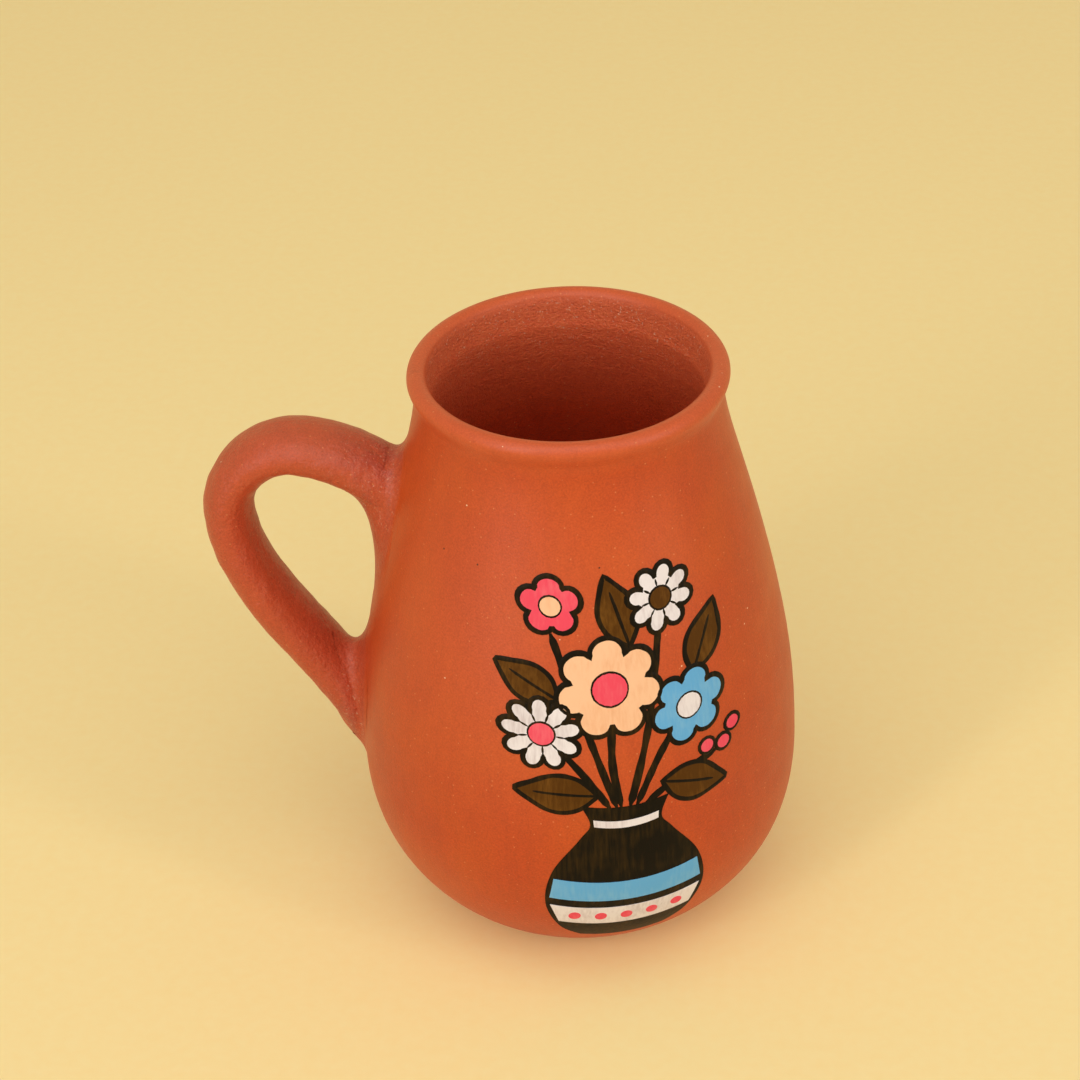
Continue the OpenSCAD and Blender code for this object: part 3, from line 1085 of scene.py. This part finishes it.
# %% Vase
VASE_SIDE = [(9.5, 13.5), (14.5, 18.5), (18, 28), (16.5, 38), (10.5, 47), (8, 51), (9.8, 56)]
FOOT_DROP = 1.2
BRIM_DROP = 1.0
BAND_DROP = 1.6
NECK_BAND_DROP = 0.9
BAND_INSET = 0.9
BAND_STEPS = 16
vase_side = through(VASE_SIDE)


def vase_half_width(up):
    """Half the vase's width at a height, read from its smooth side."""
    for low, high in zip(vase_side, vase_side[1:]):
        if low.y <= up <= high.y:
            return low.x + (high.x - low.x) * (up - low.y) / (high.y - low.y)
    return vase_side[-1].x


def bow(across, half_width, drop):
    """How far a level line on a round vase sinks at its middle."""
    return -drop * (1 - (across / half_width) ** 2)


def vase_end(corner, drop, places):
    """The bowed foot or brim of the vase, between its two corners."""
    half, up = corner
    return [(across, up + bow(across, half, drop)) for across in places]


def vase_band(name, slot, low, high, drop=BAND_DROP):
    """A band that runs round the vase between two heights."""
    bottom, top = [], []
    for number in range(BAND_STEPS + 1):
        share = 2 * number / BAND_STEPS - 1
        for up, row in ((low, bottom), (high, top)):
            half = vase_half_width(up) - BAND_INSET
            row.append((share * half, up + bow(share * half, half, drop)))
    fill(name, slot, bottom + top[::-1], LEAF_LINE)


foot = vase_end(VASE_SIDE[0], FOOT_DROP, (-6, -3, 0, 3, 6))
brim = vase_end(VASE_SIDE[-1], BRIM_DROP, (6, 3, 0, -3, -6))
other_side = [(-point.x, point.y) for point in reversed(vase_side)]
fill("vase", "black_paint", foot + vase_side + brim + other_side, STEM)
vase_band("white_band", "white_paint", 21, 27.5)
vase_band("blue_band", "blue_paint", 30, 36)
vase_band("thin_white_band", "white_paint", 50.5, 52.3, drop=NECK_BAND_DROP)
print("vase pieces:", len(painted))

# %% A row of dots on the white band
DOT_COUNT = 5
DOT_FIRST = -11.6
DOT_SPACING = 5.8
DOT_HEIGHT = 24.4
DOT_RADIUS = 1.35
DOT_ROW_HALF = 17
DOT_ROW_DROP = 1.8

for number in range(DOT_COUNT):
    across = DOT_FIRST + DOT_SPACING * number
    centre = (across, DOT_HEIGHT + bow(across, DOT_ROW_HALF, DOT_ROW_DROP))
    fill(f"vase_dot_{number + 1}", "pink_paint", blob(centre, DOT_RADIUS), BLOOM)
print("with dots:", len(painted))

# %% [markdown]
# Stems are single strokes from the vase's mouth up to each flower, which covers their end. A
# leaf is a pointed patch with an outline and a vein, and its two sides are mirror images.

# %% Stems and leaves
STEM_WIDTH = 1.7
STEMS = {
    "stem_peach": [(-1, 55), (-2.5, 66), (-2, 78)],
    "stem_blue": [(2.5, 55), (8, 66), (15, 76)],
    "stem_daisy": [(-3.5, 55), (-9, 64), (-16.5, 74)],
    "stem_small_daisy": [(1, 55), (6, 74), (10, 98)],
    "stem_bud": [(-2, 55), (-8, 76), (-13.5, 97)],
    "stem_twig": [(4.5, 55), (13, 60), (22, 62.5)],
}
LEAF_BULGES = ((0.25, 0.85), (0.55, 1), (0.85, 0.4))
LEAF_EDGE_WIDTH = 1.3
VEIN_SHARE = 0.78

for name, points in STEMS.items():
    line(name, through(points), width=STEM_WIDTH, height=STEM)


def leaf(name, base, tip, width):
    """A pointed leaf with its outline and middle vein."""
    base, tip = Vector(base), Vector(tip)
    side = Vector((base.y - tip.y, tip.x - base.x)).normalized() * width / 2
    left = [base.lerp(tip, share) + side * bulge for share, bulge in LEAF_BULGES]
    right = [base.lerp(tip, share) - side * bulge for share, bulge in reversed(LEAF_BULGES)]
    outline = through([base, *left, tip]) + through([tip, *right, base])[1:-1]
    fill(name, "brown_paint", outline, LEAF)
    line(name + "_edge", outline, width=LEAF_EDGE_WIDTH, height=LEAF_LINE, closed=True)
    vein = [base, base.lerp(tip, VEIN_SHARE)]
    line(name + "_vein", vein, width=FINE_WIDTH, height=LEAF_LINE)


leaf("leaf_left", (-6, 58.5), (-23.5, 60), 9)
leaf("leaf_right", (8.5, 59.5), (24, 54.5), 8.5)
leaf("leaf_top", (3, 93), (-1.5, 109), 8)
leaf("leaf_far_right", (17, 83), (23, 97), 8)
leaf("leaf_far_left", (-13, 82), (-25, 90), 8)
print("with stems and leaves:", len(painted))

# %% [markdown]
# A flower is a flat head with rounded petals, an outline, and a round heart with a ring. A
# daisy also has a fine line between each pair of petals. One helper makes all five. The
# berries at the end of the twig are round dots with a fine ring.

# %% Flowers
HEART_WIDTH = 1.2
RAY_START = 1.15


def flower(name, centre, radius, petals, depth, slot, heart_slot, heart, turn=0, rays=True):
    """A flower head: petals with an outline, a line between each pair, and a round heart."""
    outline = petal_ring(centre, radius, petals, depth, turn)
    fill(name, slot, outline, BLOOM)
    line(name + "_edge", outline, closed=True)
    for number in range(petals if rays else 0):
        angle = 2 * math.pi * (number + 0.5) / petals + turn
        ray = [
            (centre[0] + reach * math.sin(angle), centre[1] + reach * math.cos(angle))
            for reach in (heart * RAY_START, radius * (1 - depth))
        ]
        line(f"{name}_ray_{number + 1}", ray, width=FINE_WIDTH)
    ring = blob(centre, heart)
    fill(name + "_heart", heart_slot, ring, DOT)
    line(name + "_heart_edge", ring, width=HEART_WIDTH, height=DOT, closed=True)


flower("peach_flower", (-2, 84), 11.5, 7, 0.3, "peach_paint", "pink_paint", 3.8, rays=False)
flower(
    "blue_flower", (15.5, 76), 8.6, 6, 0.34, "blue_paint", "white_paint", 2.8,
    turn=0.3, rays=False,
)
flower("daisy", (-17, 74), 8.4, 9, 0.42, "white_paint", "pink_paint", 2.6)
flower("small_daisy", (10.5, 102), 7.4, 8, 0.42, "white_paint", "brown_paint", 2.3, turn=0.2)
flower("far_flower", (-13, 103), 6.4, 5, 0.34, "pink_paint", "peach_paint", 2.1, rays=False)
print("with flowers:", len(painted))

# %% Berries on the twig
BERRIES = [(23.5, 63.5), (19.4, 64.4), (26, 67)]
BERRY_RADIUS = 1.8

for number, centre in enumerate(BERRIES, 1):
    ring = blob(centre, BERRY_RADIUS)
    fill(f"berry_{number}", "pink_paint", ring, BLOOM)
    line(f"berry_{number}_edge", ring, width=FINE_WIDTH, closed=True)
print("painted pieces:", len(painted))
print("paint faces:", sum(len(piece.data.polygons) for piece in painted))

# %% [markdown]
# ## Floor and light
#
# A plain pale sheet lies under the mug. More light on it would wash out the clay, so the sheet
# gives off a little light of its own, which only the camera and reflections see: Light Path
# tells those rays from the ones that light the mug.

# %% Floor
FLOOR_SIZE = 6
FLOOR_LIFT = 0.1


def seen_rays(tree):
    """1 for a ray of the camera, a reflection or clear glass, 0 for one that lights the mug."""
    path = tree.nodes.new("ShaderNodeLightPath")
    seen = path.outputs["Is Camera Ray"]
    for kind in ("Is Glossy Ray", "Is Transmission Ray"):
        either = tree.nodes.new("ShaderNodeMath")
        either.operation = "MAXIMUM"
        tree.links.new(seen, either.inputs[0])
        tree.links.new(path.outputs[kind], either.inputs[1])
        seen = either.outputs[0]
    return seen


bpy.ops.mesh.primitive_plane_add(size=FLOOR_SIZE)
floor = bpy.context.object
floor.name = "floor"
paper = Finish("paper", Roughness=0.9, Specular_IOR_Level=0.2)
fibre = paper.noise(size=3 * MM)
tint = paper.ramp(fibre, (0.3, colour(252, 227, 162)), (0.7, colour(253, 230, 168)))
paper.set(paper.shader, "Base Color", tint)
paper.set(paper.shader, "Emission Color", tint)
paper.set(paper.shader, "Emission Strength", paper.times(seen_rays(paper.tree), FLOOR_LIFT))
floor.data.materials.append(paper.material)
print("floor:", FLOOR_SIZE, "m across")

# %% [markdown]
# Two tall soft boxes stand left and right of the mug's front, and a square one hangs above it.
# The tall ones lay the broad upright bands of sheen that burnished clay shows, and the high
# one lights the lip and reaches into the hollow. Small lamps would throw hard-edged shadows.

# %% Lamps
LAMP_DISTANCE = 1.6
SIDE_LAMP_SIZE = (0.2, 1.1)
SIDE_LAMP_HEIGHT_ANGLE = 22
FRONT_LAMP_SIZE = (1.7, 1.7)
FRONT_LAMP_HEIGHT_ANGLE = 58


def lamp(name, side_degrees, height_degrees, size, power):
    """A soft box that faces the mug from a side of its front and from a height."""
    side, height = math.radians(side_degrees), math.radians(height_degrees)
    level = math.cos(height)
    away = Vector((math.sin(side) * level, -math.cos(side) * level, math.sin(height)))
    place = mug_middle + away * LAMP_DISTANCE
    turn = (-away).to_track_quat("-Z", "Y").to_euler()
    bpy.ops.object.light_add(type="AREA", location=place, rotation=turn)
    light = bpy.context.object
    light.name = name
    light.data.shape = "RECTANGLE"
    light.data.size, light.data.size_y = size
    light.data.energy = power
    print(name, "of", power, "W")


lamp("left_lamp", -34, SIDE_LAMP_HEIGHT_ANGLE, SIDE_LAMP_SIZE, power=5)
lamp("right_lamp", 62, SIDE_LAMP_HEIGHT_ANGLE, SIDE_LAMP_SIZE, power=4)
lamp("front_lamp", 0, FRONT_LAMP_HEIGHT_ANGLE, FRONT_LAMP_SIZE, power=10)
bpy.context.scene.view_settings.view_transform = "Standard"

# %% [markdown]
# A bright room fills the shadows, as in a product studio. The room and the pale wall are two
# backgrounds: the first lights the mug, and the second is what the camera and reflections see
# behind it. One for both would tie the wall's colour to the strength of the light.

# %% Bright room, and a pale wall for the camera and the reflections
ROOM_COLOUR = (1.0, 0.9, 0.7, 1)
ROOM_STRENGTH = 0.46
WALL_COLOUR = colour(246, 220, 160)

studio = bpy.data.worlds.new("studio")
studio.use_nodes = True
tree = studio.node_tree
room = tree.nodes["Background"]
room.inputs["Color"].default_value = ROOM_COLOUR
room.inputs["Strength"].default_value = ROOM_STRENGTH
wall = tree.nodes.new("ShaderNodeBackground")
wall.inputs["Color"].default_value = WALL_COLOUR
both = tree.nodes.new("ShaderNodeMixShader")
tree.links.new(seen_rays(tree), both.inputs[0])
tree.links.new(room.outputs[0], both.inputs[1])
tree.links.new(wall.outputs[0], both.inputs[2])
tree.links.new(both.outputs[0], tree.nodes["World Output"].inputs["Surface"])
bpy.context.scene.world = studio
print("world:", studio.name, "with", len(tree.nodes), "nodes")
